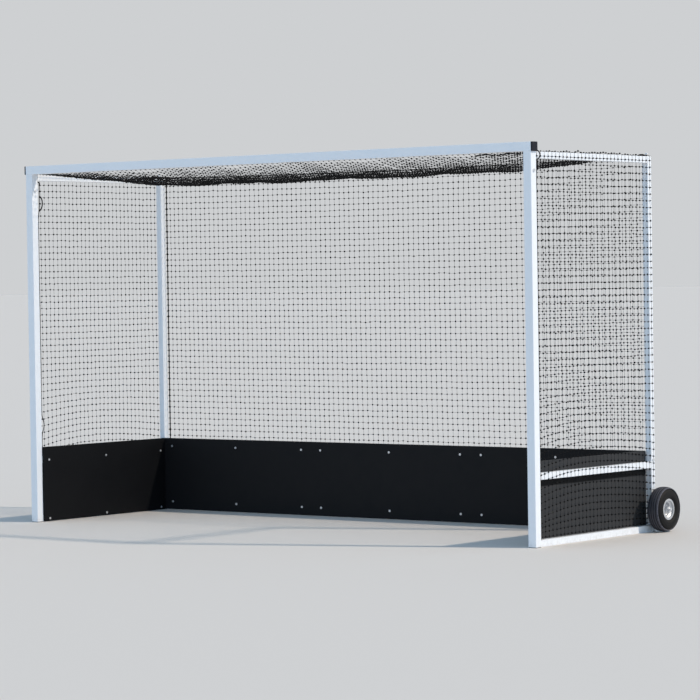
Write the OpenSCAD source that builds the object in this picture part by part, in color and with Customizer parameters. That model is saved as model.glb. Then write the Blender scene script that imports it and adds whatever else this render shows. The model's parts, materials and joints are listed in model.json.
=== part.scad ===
// Field hockey goal with boards, a net hung on its frame and two transport wheels.
// The mouth faces -Y, the back is towards +Y, and Z = 0 is the ground.

/* [Goal] */
// Clear width of the mouth between the front posts
mouth_w = 3657.6; // [2400:10:4200]
// Clear height of the mouth under the crossbar
mouth_h = 2133.6; // [1600:10:2400]
// Depth from the front face of the posts to the back face of the rear posts
goal_depth = 1219.2; // [900:10:1800]

/* [Front frame] */
// Side of the square tube of the posts and the crossbar
post_w = 50.8; // [44:0.1:70]
// Wall of the post and crossbar tube
post_wall = 3.2; // [2:0.1:5]
// Outer corner radius of the post and crossbar tube
post_round = 3; // [1:0.5:5]
// Thickness of the head of a crossbar end cap
cap_head = 9.5; // [4:0.5:16]
// Depth of the corner spigot in the post
spigot_len = 152; // [125:1:250]
// Wall of the corner spigot
spigot_wall = 3; // [2:0.1:5]
// Distance of the corner bolt below the crossbar
corner_bolt_drop = 102; // [40:1:115]
// Diameter of the corner bolts
corner_bolt_d = 10; // [8:1:14]

/* [Side frames] */
// Side of the square tube of the rails and the rear posts
rail_w = 38.1; // [30:0.1:44]
// Wall of the rail tube
rail_wall = 2.4; // [1.5:0.1:4]
// Outer corner radius of the rail tube
rail_round = 2.5; // [1:0.5:5]
// Height of the centre line of the side rails that carry the boards' upper edge
mid_rail_z = 381; // [200:1:420]
// Height of the net hooks above the rear posts
hook_rise = 20; // [17:1:60]

/* [Boards] */
// Height of a board
board_h = 457.2; // [350:1:600]
// Thickness of a board
board_t = 12.7; // [8:0.1:19]
// Gap between the boards and the ground
board_lift = 3; // [1:0.5:10]
// Distance of the back boards' screws from the upper and lower edge
back_screw_edge = 50.8; // [40:0.1:90]
// Distance of the back boards' outer screws from a board's ends
back_screw_end = 76.2; // [20:0.1:120]
// Distance of the side boards' outer screws from a board's ends
side_screw_end = 44.5; // [20:0.1:90]
// Head diameter of the board screws
screw_head_d = 14; // [10:0.5:18]
// Length of the board screws' shanks
screw_len = 25; // [18:1:32]

/* [Net] */
// Spacing of the net's modelled strands
net_pitch = 205; // [180:5:400]
// Width of a modelled strand
net_strand = 5; // [3:0.5:10]
// Thickness of the net
net_t = 3; // [2:0.5:5]
// Height of the net's lower edge above the ground
net_lift = 38; // [30:1:120]
// Diameter of the border ropes
rope_d = 6; // [4:0.5:10]
// Distance of the front border rope from the goal line, on the left
rope_y_left = 112; // [80:1:160]
// Distance of the front border rope from the goal line, on the right
rope_y_right = 72; // [64:1:160]
// Spacing of the net clips on the crossbar
clip_pitch = 300; // [150:10:600]

/* [Wheels] */
// Outer diameter of a tyre
tyre_d = 254; // [225:1:300]
// Width of a tyre
tyre_w = 85; // [78:1:100]
// Gap between the tyres and the ground
wheel_lift = 3; // [1:0.5:10]
// Gap between a rear post and the tyre beside it
wheel_gap = 25; // [12:1:60]
// Diameter of the axle bolts
axle_d = 12; // [10:1:14]
// Length of a wheel hub
hub_len = 70; // [50:1:74]
// Outer diameter of a wheel hub
hub_d = 34; // [32:1:40]

/* [Hidden] */
// Clearances: between touching soft or loose pieces, inside the tubes, in bolt holes, at the bearings
loose = 0.3;
slip = 0.2;
hole_play = 0.1;
run_play = 0.05;

// Planes and lines of the frame, with Y measured from the front face of the posts
inner_x = mouth_w / 2;
post_x = inner_x + post_w;
post_mid = inner_x + post_w / 2;
rail_x = inner_x + rail_w;
rail_mid = inner_x + rail_w / 2;
rear_y = goal_depth - rail_w;
rear_mid = goal_depth - rail_w / 2;
side_rail_len = rear_y - post_w;
top_rail_z = mouth_h - rail_w / 2;
bottom_rail_z = rail_w / 2;

// Feet and caps in the tube ends, and the nuts on the corner bolts
foot_t = 3;
plug_depth = 20;
plug_wall = 3;
corner_nut_af = 16;
corner_nut_h = 5;
corner_bolt_out = 2;
post_bore = post_w - 2 * post_wall;
rail_bore = rail_w - 2 * rail_wall;

// Boards and their screws
back_boards = 3;
board_top = board_lift + board_h;
back_board_y = rear_y - board_t;
back_board_w = mouth_w / back_boards;
side_board_len = back_board_y - post_w;
rear_rail_zs = [board_lift + back_screw_edge, board_top - back_screw_edge];
side_screw_zs = [bottom_rail_z, mid_rail_z];
side_screw_ys = [post_w + side_screw_end, post_w + side_board_len / 2, back_board_y - side_screw_end];
back_screw_step = back_board_w / 2 - back_screw_end;
screw_d = 6.3;
screw_head_h = 3.2;

// Bolts of the rear rails and their threaded plugs
rail_bolt_d = 10;
rail_plug_len = 30;
rail_bolt_len = rail_w + rail_plug_len - 4;
button_h = 5.5;
button_ratio = 1.75;
socket_ratio = 0.65;

// Net, ropes, clips and hooks
rope_r = rope_d / 2;
net_top_z = mouth_h + net_t;
net_out_x = rail_x + net_t;
net_out_y = goal_depth + net_t;
clip_t = 2.5;
clip_w = 12;
clip_rise = 25;
clip_screw_d = 5;
clip_head_h = 2.5;
front_rope_y = post_w + clip_t + loose + rope_r;
front_rope_z = net_top_z + loose + clip_t + loose + rope_r;
front_rope_end = rail_x - 6;
clip_count = 2 * round(front_rope_end / clip_pitch - 0.5) + 1;
clip_span = (clip_count - 1) / 2 * clip_pitch;
rear_rope_z = net_top_z + loose + rope_r;
side_rope_x = net_out_x + loose + rope_r;
side_rope_top = mouth_h - rail_w - 4;
rear_rope_x = inner_x - 29;
hook_r = 3.5;
hook_bend = 6;
hook_set = 15;
hook_boss = 19;
hook_y = rear_mid - 8;
hook_loop = hook_r + loose + rope_r;
tie_r = 2.5;
tie_sides = 8;

// Wheel: the mid plane across the tyre, the rim's own sheet and seats, the axle's stack
wheel_x = rail_x + wheel_gap + tyre_w / 2;
wheel_z = tyre_d / 2 + wheel_lift;
axle_y = rear_mid;
seat_r = 50.8;
flange_r = 60.5;
rim_half = 31;
rim_t = 2;
rim_web_r = 42;
hub_in = wheel_x - hub_len / 2;
hub_out = wheel_x + hub_len / 2;
spacer_d = 20;
washer_t = 2.5;
washer_d = 24;
nut_h = 10;
nut_af = 18;
head_h = 7.5;
bearing_w = 11;
bearing_d = 28;
bearing_seat = 3;
shield_sink = 0.6;
shield_in_d = 16;
shield_out_d = 23;
rim_bolt_d = 6;
rim_bolt_af = 10;
rim_head_h = 4;
rim_nut_h = 5;
rim_bolt_out = 3;
rim_bolts = 4;
rim_bolt_r = (hub_d / 2 + rim_web_r) / 2;

// The part stands with its origin under the middle of its box
back_end = max(axle_y + tyre_d / 2, net_out_y + loose + rope_d);
front_y = -back_end / 2;

frame_white = "white";
rope_black = [0.06, 0.06, 0.07];
board_black = [0.09, 0.1, 0.12];
rubber_black = [0.13, 0.14, 0.16];
zinc = [0.72, 0.74, 0.76];

$fn = 32;

// Placing

// Moves a piece from the goal line's own frame to the part's frame
module placed() {
  translate([0, front_y, 0]) children();
}

// Draws the right hand piece on the side asked for: 1 is right, -1 is left
module on_side(side) {
  if (side > 0) children();
  else mirror([1, 0, 0]) children();
}

module both_sides() {
  children();
  mirror([1, 0, 0]) children();
}

// Turns something that stands along Z so that it lies along X or Y
module along_x() {
  rotate([0, 90, 0]) children();
}

module along_y() {
  rotate([-90, 0, 0]) children();
}

// Square tube stock

module rounded_square(w, r) {
  square([w, w - 2 * r], center = true);
  square([w - 2 * r, w], center = true);
  for (x = [-1, 1], y = [-1, 1])
    translate([x * (w / 2 - r), y * (w / 2 - r)]) circle(r);
}

module tube_section(w, wall, r) {
  difference() {
    rounded_square(w, r);
    rounded_square(w - 2 * wall, max(r - wall, 0.8));
  }
}

module post_stock(length) {
  linear_extrude(length) tube_section(post_w, post_wall, post_round);
}

module rail_stock(length) {
  linear_extrude(length) tube_section(rail_w, rail_wall, rail_round);
}

// A plastic plug for a tube end: a head of the tube's size and a hollow body that fits inside
module end_plug(w, bore, r, head) {
  linear_extrude(head) rounded_square(w, r);
  translate([0, 0, head]) linear_extrude(plug_depth) tube_section(bore - 2 * slip, plug_wall, 1);
}

// Bolts and screws, with the head's underside at Z = 0 and the shank along +Z

module button_bolt(d, length) {
  cylinder(d = d, h = length);
  difference() {
    translate([0, 0, -button_h]) intersection() {
      cylinder(d = button_ratio * d, h = button_h);
      translate([0, 0, d]) sphere(r = d + button_h);
    }
    translate([0, 0, -button_h - 1]) cylinder(d = socket_ratio * d, h = 1 + button_h / 2, $fn = 6);
  }
}

module hex_head(af, h) {
  cylinder(d = af / cos(30), h = h, $fn = 6);
}

module hex_nut(af, h, d) {
  difference() {
    hex_head(af, h);
    translate([0, 0, -1]) cylinder(d = d + 2 * hole_play, h = h + 2);
  }
}

module board_screw() {
  cylinder(d = screw_d, h = screw_len);
  translate([0, 0, -screw_head_h]) intersection() {
    cylinder(d = screw_head_d, h = screw_head_h);
    translate([0, 0, screw_head_d]) sphere(r = screw_head_d + screw_head_h, $fn = 64);
  }
}

// Front frame

module crossbar() {
  color(frame_white) placed() difference() {
    translate([-post_x, post_w / 2, mouth_h + post_w / 2]) along_x() post_stock(2 * post_x);
    clip_places() translate([0, post_w - 2 * post_wall, 0]) along_y()
      cylinder(d = clip_screw_d + 2 * hole_play, h = 3 * post_wall);
  }
}

module crossbar_cap() {
  color(board_black) placed() translate([post_x + cap_head, post_w / 2, mouth_h + post_w / 2])
    rotate([0, -90, 0]) end_plug(post_w, post_bore, post_round, cap_head);
}

module corner_spigot() {
  color(zinc) placed() difference() {
    translate([post_mid, post_w / 2, mouth_h - spigot_len])
      linear_extrude(spigot_len) tube_section(post_bore - 2 * slip, spigot_wall, 1.5);
    corner_bolt_hole();
  }
}

module corner_bolt_hole() {
  translate([inner_x - 1, post_w / 2, mouth_h - corner_bolt_drop]) along_x()
    cylinder(d = corner_bolt_d + 2 * hole_play, h = post_w + 2);
}

module front_post() {
  color(frame_white) placed() difference() {
    translate([post_mid, post_w / 2, foot_t]) post_stock(mouth_h - foot_t);
    corner_bolt_hole();
  }
}

module corner_bolts() {
  color(zinc) placed() both_sides()
    translate([post_x, post_w / 2, mouth_h - corner_bolt_drop]) rotate([0, -90, 0])
      button_bolt(corner_bolt_d, post_w + corner_nut_h + corner_bolt_out);
}

module corner_nuts() {
  color(zinc) placed() both_sides()
    translate([inner_x - corner_nut_h, post_w / 2, mouth_h - corner_bolt_drop]) along_x()
      hex_nut(corner_nut_af, corner_nut_h, corner_bolt_d);
}

module front_feet() {
  color(board_black) placed() both_sides()
    translate([post_mid, post_w / 2, 0]) end_plug(post_w, post_bore, post_round, foot_t);
}

// Side frames

module side_rail(z, screw_holes) {
  color(frame_white) placed() difference() {
    translate([rail_mid, post_w, z]) along_y() rail_stock(side_rail_len);
    if (screw_holes)
      for (y = side_screw_ys)
        translate([inner_x - 1, y, z]) along_x() cylinder(d = screw_d + 2 * hole_play, h = rail_wall + 2);
  }
}

module rear_post() {
  color(frame_white) placed() difference() {
    translate([rail_mid, rear_mid, foot_t]) rail_stock(mouth_h - 2 * foot_t);
    for (z = rear_rail_zs) rear_bolt_hole(z, rail_bolt_d);
    rear_bolt_hole(wheel_z, axle_d);
  }
}

module rear_bolt_hole(z, d) {
  translate([inner_x - 1, rear_mid, z]) along_x() cylinder(d = d + 2 * hole_play, h = rail_w + 2);
}

module rear_feet() {
  color(board_black) placed() both_sides()
    translate([rail_mid, rear_mid, 0]) end_plug(rail_w, rail_bore, rail_round, foot_t);
}

// The rear posts' top caps are bored for the net hooks
module rear_post_caps() {
  color(frame_white) placed() both_sides() difference() {
    union() {
      translate([rail_mid, rear_mid, mouth_h]) mirror([0, 0, 1])
        end_plug(rail_w, rail_bore, rail_round, foot_t);
      translate([rail_mid, hook_y, mouth_h - hook_boss]) cylinder(r = 2 * hook_r, h = hook_boss);
    }
    translate([rail_mid, hook_y, mouth_h - hook_boss - 1])
      cylinder(r = hook_r + hole_play, h = hook_boss + 2);
  }
}

// Rear rails, from rear post to rear post

module rear_rail(z) {
  color(frame_white) placed() difference() {
    translate([-inner_x, rear_mid, z]) along_x() rail_stock(mouth_w);
    back_screw_places() translate([0, rear_y - 1, z]) along_y()
      cylinder(d = screw_d + 2 * hole_play, h = rail_wall + 2);
  }
}

module rear_rail_plugs() {
  color(zinc) placed() both_sides() for (z = rear_rail_zs)
    difference() {
      translate([inner_x - rail_plug_len, rear_mid, z]) along_x()
        linear_extrude(rail_plug_len) rounded_square(rail_bore - 2 * slip, 1);
      translate([inner_x - rail_plug_len - 1, rear_mid, z]) along_x()
        cylinder(d = rail_bolt_d + 2 * hole_play, h = rail_plug_len + 2);
    }
}

module rear_rail_bolts() {
  color(zinc) placed() both_sides() for (z = rear_rail_zs)
    translate([rail_x, rear_mid, z]) rotate([0, -90, 0]) button_bolt(rail_bolt_d, rail_bolt_len);
}

// Boards

module side_board() {
  color(board_black) placed() difference() {
    translate([inner_x - board_t, post_w, board_lift]) cube([board_t, side_board_len, board_h]);
    for (y = side_screw_ys, z = side_screw_zs)
      translate([inner_x - board_t - 1, y, z]) along_x()
        cylinder(d = screw_d + 2 * hole_play, h = board_t + 2);
  }
}

module back_board(index) {
  color(board_black) placed() difference() {
    translate([-inner_x + index * back_board_w, back_board_y, board_lift])
      cube([back_board_w, board_t, board_h]);
    for (x = board_screw_xs(index), z = rear_rail_zs)
      translate([x, back_board_y - 1, z]) along_y() cylinder(d = screw_d + 2 * hole_play, h = board_t + 2);
  }
}

function board_screw_xs(index) =
  [for (k = [-1, 0, 1]) -inner_x + (index + 0.5) * back_board_w + k * back_screw_step];

module back_screw_places() {
  for (index = [0 : back_boards - 1], x = board_screw_xs(index)) translate([x, 0, 0]) children();
}

module side_board_screws() {
  color(zinc) placed() both_sides() for (y = side_screw_ys, z = side_screw_zs)
    translate([inner_x - board_t, y, z]) along_x() board_screw();
}

module back_board_screws() {
  color(zinc) placed() back_screw_places() for (z = rear_rail_zs)
    translate([0, back_board_y, z]) along_y() board_screw();
}

// Net: crossing strands in a flat sheet, drawn over an area that starts at the origin

module net_sheet(w, h) {
  columns = round(w / net_pitch);
  rows = round(h / net_pitch);
  linear_extrude(net_t) {
    for (i = [0 : columns]) translate([i * (w - net_strand) / columns, 0]) square([net_strand, h]);
    for (j = [0 : rows]) translate([0, j * (h - net_strand) / rows]) square([w, net_strand]);
  }
}

module net_top() {
  color(rope_black) placed() translate([-net_out_x, post_w, mouth_h])
    net_sheet(2 * net_out_x, net_out_y - post_w);
}

module net_back() {
  color(rope_black) placed() translate([-rail_x, net_out_y, net_lift]) rotate([90, 0, 0])
    net_sheet(2 * rail_x, mouth_h - net_lift);
}

// A strand that would cross a bolt's head or the axle's spacer stops short of it
module net_side(start_y) {
  color(rope_black) placed() difference() {
    translate([rail_x, start_y, net_lift]) rotate([90, 0, 90])
      net_sheet(net_out_y - start_y, mouth_h - net_lift);
    for (z = rear_rail_zs) translate([rail_x - 1, rear_mid, z]) along_x()
      cylinder(d = button_ratio * rail_bolt_d + 2 * loose, h = net_t + 2);
    translate([rail_x - 1, axle_y, wheel_z]) along_x() cylinder(d = spacer_d + 2 * loose, h = net_t + 2);
  }
}

// What holds the net

module net_hooks() {
  color(frame_white) placed() both_sides() translate([rail_mid, hook_y, mouth_h]) {
    translate([0, 0, -hook_set]) cylinder(r = hook_r, h = hook_set + hook_rise - hook_bend - hook_r);
    translate([hook_bend, 0, hook_rise - hook_bend - hook_r]) rotate([90, 0, 0])
      rotate([0, 0, 90]) rotate_extrude(angle = 90) translate([hook_bend, 0]) circle(hook_r);
    translate([hook_bend, 0, hook_rise - hook_r]) along_x() cylinder(r = hook_r, h = hook_bend);
  }
}

module rear_top_rope() {
  color(rope_black) placed() {
    translate([-rail_mid + hook_loop, hook_y, rear_rope_z]) along_x()
      cylinder(r = rope_r, h = 2 * (rail_mid - hook_loop));
    both_sides() translate([rail_mid, hook_y, rear_rope_z])
      rotate_extrude() translate([hook_loop, 0]) circle(rope_r);
  }
}

module front_top_rope() {
  color(rope_black) placed() translate([-front_rope_end, front_rope_y, front_rope_z]) along_x()
    cylinder(r = rope_r, h = 2 * front_rope_end);
}

module clip_places() {
  for (i = [0 : clip_count - 1])
    translate([-clip_span + i * clip_pitch, 0, front_rope_z + clip_rise - clip_w / 2]) children();
}

// A clip is a screwed plate with a ring round the rope at its foot
module crossbar_clips() {
  color(board_black) placed() clip_places() {
    difference() {
      union() {
        translate([-clip_w / 2, post_w, clip_w / 2 - clip_rise]) cube([clip_w, clip_t, clip_rise]);
        translate([-clip_w / 2, front_rope_y, clip_w / 2 - clip_rise]) along_x()
          cylinder(r = rope_r + loose + clip_t, h = clip_w);
      }
      translate([-clip_w / 2 - 1, front_rope_y, clip_w / 2 - clip_rise]) along_x()
        cylinder(r = rope_r + loose, h = clip_w + 2);
      translate([0, post_w - 1, 0]) along_y() cylinder(d = clip_screw_d + 2 * hole_play, h = clip_t + 2);
    }
    translate([0, post_w + clip_t, 0]) rotate([90, 0, 0]) {
      cylinder(d = clip_screw_d, h = clip_t + post_wall + 4);
      translate([0, 0, -clip_head_h]) cylinder(d = button_ratio * clip_screw_d, h = clip_head_h);
    }
  }
}

// The upright border ropes of one side: one behind the front post, one behind the goal
module side_ropes(front_rope) {
  color(rope_black) placed() {
    translate([side_rope_x, front_rope, net_lift]) cylinder(r = rope_r, h = side_rope_top - net_lift);
    translate([rear_rope_x, net_out_y + loose + rope_r, net_lift])
      cylinder(r = rope_r, h = mouth_h - net_lift);
  }
}

// The cord's end that ties the crossbar's rope to the upright one, swept along chosen points
function tie_path(front_rope) = [
  [front_rope_end, front_rope_y, front_rope_z],
  [front_rope_end + 8, front_rope_y, front_rope_z],
  [side_rope_x + 4, front_rope_y + 8, front_rope_z - 3],
  [side_rope_x + 9, front_rope_y + 13, front_rope_z - 12],
  [side_rope_x + 9, front_rope_y + 15, front_rope_z - 24],
  [side_rope_x + 5, (front_rope_y + 15 + front_rope) / 2, front_rope_z - 36],
  [side_rope_x, front_rope, side_rope_top + 4],
  [side_rope_x, front_rope, side_rope_top]
];

function unit(v) = v / norm(v);

// A ring of points round a path's point, square to the path there
function tie_ring(path, i) =
  let (
    last = len(path) - 1,
    ahead = unit(path[min(i + 1, last)] - path[max(i - 1, 0)]),
    across = unit(cross(ahead, [0, 1, 0])),
    up = cross(across, ahead)
  )
  [for (k = [0 : tie_sides - 1])
    path[i] + tie_r * (cos(360 * k / tie_sides) * across + sin(360 * k / tie_sides) * up)];

module swept_tie(path) {
  rings = [for (i = [0 : len(path) - 1]) each tie_ring(path, i)];
  last = (len(path) - 1) * tie_sides;
  walls = [for (i = [0 : len(path) - 2], k = [0 : tie_sides - 1])
    let (a = i * tie_sides + k, b = i * tie_sides + (k + 1) % tie_sides)
    each [[a, b, b + tie_sides], [a, b + tie_sides, a + tie_sides]]];
  ends = [[for (k = [tie_sides - 1 : -1 : 0]) k], [for (k = [0 : tie_sides - 1]) last + k]];
  polyhedron(points = rings, faces = concat(walls, ends));
}

module corner_tie(front_rope) {
  color(rope_black) placed() swept_tie(tie_path(front_rope));
}

// Wheels

module at_wheel() {
  placed() translate([0, axle_y, wheel_z]) children();
}

// Turns an outline of (radius, distance along the axle) about the axle
module turned_on_axle() {
  translate([wheel_x, 0, 0]) along_x() rotate_extrude($fn = 96) children();
}

module axle() {
  color(zinc) at_wheel() {
    translate([inner_x - head_h, 0, 0]) along_x() hex_head(nut_af, head_h);
    translate([inner_x, 0, 0]) along_x()
      cylinder(d = axle_d, h = hub_out + loose + washer_t + nut_h + 2 - inner_x);
  }
}

module axle_ring(start, d, length) {
  translate([start, 0, 0]) along_x() difference() {
    cylinder(d = d, h = length);
    translate([0, 0, -1]) cylinder(d = axle_d + 2 * hole_play, h = length + 2);
  }
}

module axle_spacers() {
  color(zinc) at_wheel() both_sides() axle_ring(rail_x, spacer_d, hub_in - loose - rail_x);
}

module axle_washers() {
  color(zinc) at_wheel() both_sides() axle_ring(hub_out + loose, washer_d, washer_t);
}

module axle_nuts() {
  color(zinc) at_wheel() both_sides()
    translate([hub_out + loose + washer_t, 0, 0]) along_x() hex_nut(nut_af, nut_h, axle_d);
}

// The tyre's section: a round carcass under a flatter crown with shoulders and four grooves
module tyre() {
  carcass_r = tyre_w / 2;
  carcass_mid = tyre_d / 2 - carcass_r;
  crown_r = 120;
  tread_half = 35;
  wall = 6.5;
  groove = 3;
  color(rubber_black) at_wheel() turned_on_axle() difference() {
    union() {
      translate([carcass_mid, 0]) circle(carcass_r);
      intersection() {
        translate([tyre_d / 2 - crown_r, 0]) circle(crown_r, $fn = 180);
        translate([carcass_mid, -tread_half]) square([carcass_r, 2 * tread_half]);
      }
    }
    translate([carcass_mid, 0]) circle(carcass_r - wall);
    square([2 * (seat_r + slip / 2), 2 * tyre_w], center = true);
    square([2 * (seat_r + wall), 2 * (rim_half - wall - slip)], center = true);
    for (s = [-1, 1]) {
      translate([0, s * (rim_half - slip / 2 + carcass_r)])
        square([2 * (flange_r + slip), 2 * carcass_r], center = true);
      for (a = [0.2, 0.62])
        translate([tyre_d / 2 - groove - 1, s * a * tread_half - groove / 2]) square([2 * groove, groove]);
    }
  }
}

// One half of the pressed steel rim: web, well, bead seat and flange in one sheet
module rim_half_shell() {
  well_end = 17;
  seat_start = 22;
  polygon([
    [hub_d / 2, 0], [rim_web_r, 0], [rim_web_r, well_end - rim_t / 2],
    [seat_r, seat_start], [seat_r, rim_half], [flange_r, rim_half],
    [flange_r, rim_half + rim_t], [seat_r - rim_t, rim_half + rim_t],
    [seat_r - rim_t, seat_start + rim_t / 2], [rim_web_r - rim_t, well_end],
    [rim_web_r - rim_t, rim_t], [hub_d / 2, rim_t]
  ]);
}

module rim(side) {
  color(zinc) at_wheel() difference() {
    turned_on_axle() {
      if (side > 0) rim_half_shell();
      else mirror([0, 1]) rim_half_shell();
    }
    rim_bolt_places() along_x() cylinder(d = rim_bolt_d + 2 * hole_play, h = 4 * rim_t, center = true);
  }
}

module rim_bolt_places() {
  for (i = [0 : rim_bolts - 1])
    translate([wheel_x, 0, 0]) rotate([45 + i * 360 / rim_bolts, 0, 0])
      translate([0, rim_bolt_r, 0]) children();
}

module rim_bolts_and_nuts() {
  color(zinc) at_wheel() rim_bolt_places() {
    translate([rim_t, 0, 0]) along_x() hex_head(rim_bolt_af, rim_head_h);
    translate([-rim_t - rim_nut_h - rim_bolt_out, 0, 0]) along_x()
      cylinder(d = rim_bolt_d, h = 2 * rim_t + rim_nut_h + rim_bolt_out);
    translate([-rim_t - rim_nut_h, 0, 0]) along_x() hex_nut(rim_bolt_af, rim_nut_h, rim_bolt_d);
  }
}

module hub() {
  color(zinc) at_wheel() translate([hub_in, 0, 0]) along_x() difference() {
    cylinder(d = hub_d, h = hub_len);
    translate([0, 0, -1]) cylinder(d = bearing_d - 2 * bearing_seat, h = hub_len + 2);
    for (z = [-1, hub_len - bearing_w]) translate([0, 0, z]) cylinder(d = bearing_d, h = bearing_w + 1);
  }
}

module bearings() {
  color([0.5, 0.52, 0.55]) at_wheel() for (x = [hub_in, hub_out - bearing_w])
    translate([x, 0, 0]) along_x() difference() {
      cylinder(d = bearing_d, h = bearing_w);
      translate([0, 0, -1]) cylinder(d = axle_d + 2 * run_play, h = bearing_w + 2);
      for (z = [-1, bearing_w - shield_sink]) translate([0, 0, z]) difference() {
        cylinder(d = shield_out_d, h = 1 + shield_sink);
        translate([0, 0, -1]) cylinder(d = shield_in_d, h = 4);
      }
    }
}

crossbar();
on_side(-1) crossbar_cap();  // crossbar_cap_left
on_side(1) crossbar_cap();  // crossbar_cap_right
on_side(-1) corner_spigot();  // corner_spigot_left
on_side(1) corner_spigot();  // corner_spigot_right
on_side(-1) front_post();  // front_post_left
on_side(1) front_post();  // front_post_right
corner_bolts();
corner_nuts();
front_feet();
rear_feet();
on_side(-1) side_rail(top_rail_z, false);  // top_rail_left
on_side(1) side_rail(top_rail_z, false);  // top_rail_right
on_side(-1) side_rail(mid_rail_z, true);  // mid_rail_left
on_side(1) side_rail(mid_rail_z, true);  // mid_rail_right
on_side(-1) side_rail(bottom_rail_z, true);  // bottom_rail_left
on_side(1) side_rail(bottom_rail_z, true);  // bottom_rail_right
on_side(-1) rear_post();  // rear_post_left
on_side(1) rear_post();  // rear_post_right
rear_post_caps();
rear_rail(rear_rail_zs[1]);  // rear_rail_upper
rear_rail(rear_rail_zs[0]);  // rear_rail_lower
rear_rail_plugs();
rear_rail_bolts();
on_side(-1) side_board();  // side_board_left
on_side(1) side_board();  // side_board_right
back_board(0);  // back_board_left
back_board(1);  // back_board_centre
back_board(2);  // back_board_right
side_board_screws();
back_board_screws();
net_top();
net_back();
on_side(-1) net_side(rope_y_left - rope_r);  // net_left
on_side(1) net_side(rope_y_right - rope_r);  // net_right
net_hooks();
rear_top_rope();
front_top_rope();
crossbar_clips();
on_side(-1) side_ropes(rope_y_left);  // side_ropes_left
on_side(1) side_ropes(rope_y_right);  // side_ropes_right
on_side(-1) corner_tie(rope_y_left);  // corner_tie_left
on_side(1) corner_tie(rope_y_right);  // corner_tie_right
on_side(-1) axle();  // axle_left
on_side(1) axle();  // axle_right
axle_spacers();
axle_washers();
axle_nuts();
on_side(-1) tyre();  // tyre_left
on_side(1) tyre();  // tyre_right
on_side(-1) rim(1);  // rim_outer_left
on_side(1) rim(1);  // rim_outer_right
on_side(-1) rim(-1);  // rim_inner_left
on_side(1) rim(-1);  // rim_inner_right
on_side(-1) hub();  // hub_left
on_side(1) hub();  // hub_right
on_side(-1) bearings();  // bearings_left
on_side(1) bearings();  // bearings_right
on_side(-1) rim_bolts_and_nuts();  // rim_bolts_left
on_side(1) rim_bolts_and_nuts();  // rim_bolts_right
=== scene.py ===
"""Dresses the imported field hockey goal: coating, welds, boards, net, ropes, wheels and a stage.

Every length is in metres in the goal's own frame: X along the crossbar, the mouth towards -Y,
Z up from the ground.
"""

import json
import math

import bpy
import numpy as np
from mathutils import Matrix, Vector


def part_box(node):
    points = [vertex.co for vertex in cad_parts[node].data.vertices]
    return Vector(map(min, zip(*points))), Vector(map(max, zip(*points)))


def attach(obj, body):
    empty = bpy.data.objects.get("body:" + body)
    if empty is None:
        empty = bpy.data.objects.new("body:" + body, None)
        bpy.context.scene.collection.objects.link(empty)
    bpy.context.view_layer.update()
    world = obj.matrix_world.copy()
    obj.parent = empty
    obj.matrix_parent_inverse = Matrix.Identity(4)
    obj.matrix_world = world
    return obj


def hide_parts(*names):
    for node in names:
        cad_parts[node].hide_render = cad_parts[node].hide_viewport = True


bl_info = {
    "name": "Field hockey goal",
    "version": (1, 0, 0),
    "blender": (4, 5, 0),
    "location": "View3D > Sidebar > Goal",
    "description": "Dresses a field hockey goal: coating, boards, knotted net, ropes and wheels",
    "category": "Object",
}

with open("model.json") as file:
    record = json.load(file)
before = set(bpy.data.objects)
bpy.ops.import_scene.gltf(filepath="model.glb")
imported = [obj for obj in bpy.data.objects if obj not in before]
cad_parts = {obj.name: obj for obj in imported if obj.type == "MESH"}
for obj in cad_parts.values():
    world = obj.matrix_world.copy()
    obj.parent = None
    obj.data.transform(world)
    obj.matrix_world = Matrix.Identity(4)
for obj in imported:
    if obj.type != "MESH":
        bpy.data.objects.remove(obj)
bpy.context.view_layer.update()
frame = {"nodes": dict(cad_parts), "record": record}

MM = 0.001
SIDES = {"left": -1, "right": 1}
UP = Vector((0, 0, 1))


def low(node):
    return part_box(node)[0]


def high(node):
    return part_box(node)[1]


# Lines and planes of the frame, read from its own nodes
FRONT_Y = low("front_post_right").y
POST_BACK_Y = high("front_post_right").y
RAIL_IN_X = low("top_rail_right").x
RAIL_OUT_X = high("top_rail_right").x
REAR_Y = low("rear_post_right").y
BACK_Y = high("rear_post_right").y
TOP_Z = high("top_rail_right").z
NET_LOW_Z = low("net_right").z
RAIL_W = RAIL_OUT_X - RAIL_IN_X
ROPE_R = (high("front_top_rope").z - low("front_top_rope").z) / 2

# Radius of the arc that a tyre's tread follows from one shoulder to the other
TREAD_BOW = 120 * MM


def linear(hex_colour):
    """A written sRGB colour such as #1A2B3C as linear red, green and blue."""
    parts = [int(hex_colour[i : i + 2], 16) / 255 for i in (1, 3, 5)]
    return tuple(c / 12.92 if c <= 0.04045 else ((c + 0.055) / 1.055) ** 2.4 for c in parts)


def length(name, description, default):
    return bpy.props.FloatProperty(
        name=name, description=description, default=default, min=0.0, max=5.0, unit="LENGTH",
        precision=4)


def colour(name, description, hex_colour):
    return bpy.props.FloatVectorProperty(
        name=name, description=description, default=linear(hex_colour), size=3, min=0.0, max=1.0,
        subtype="COLOR")


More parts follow.
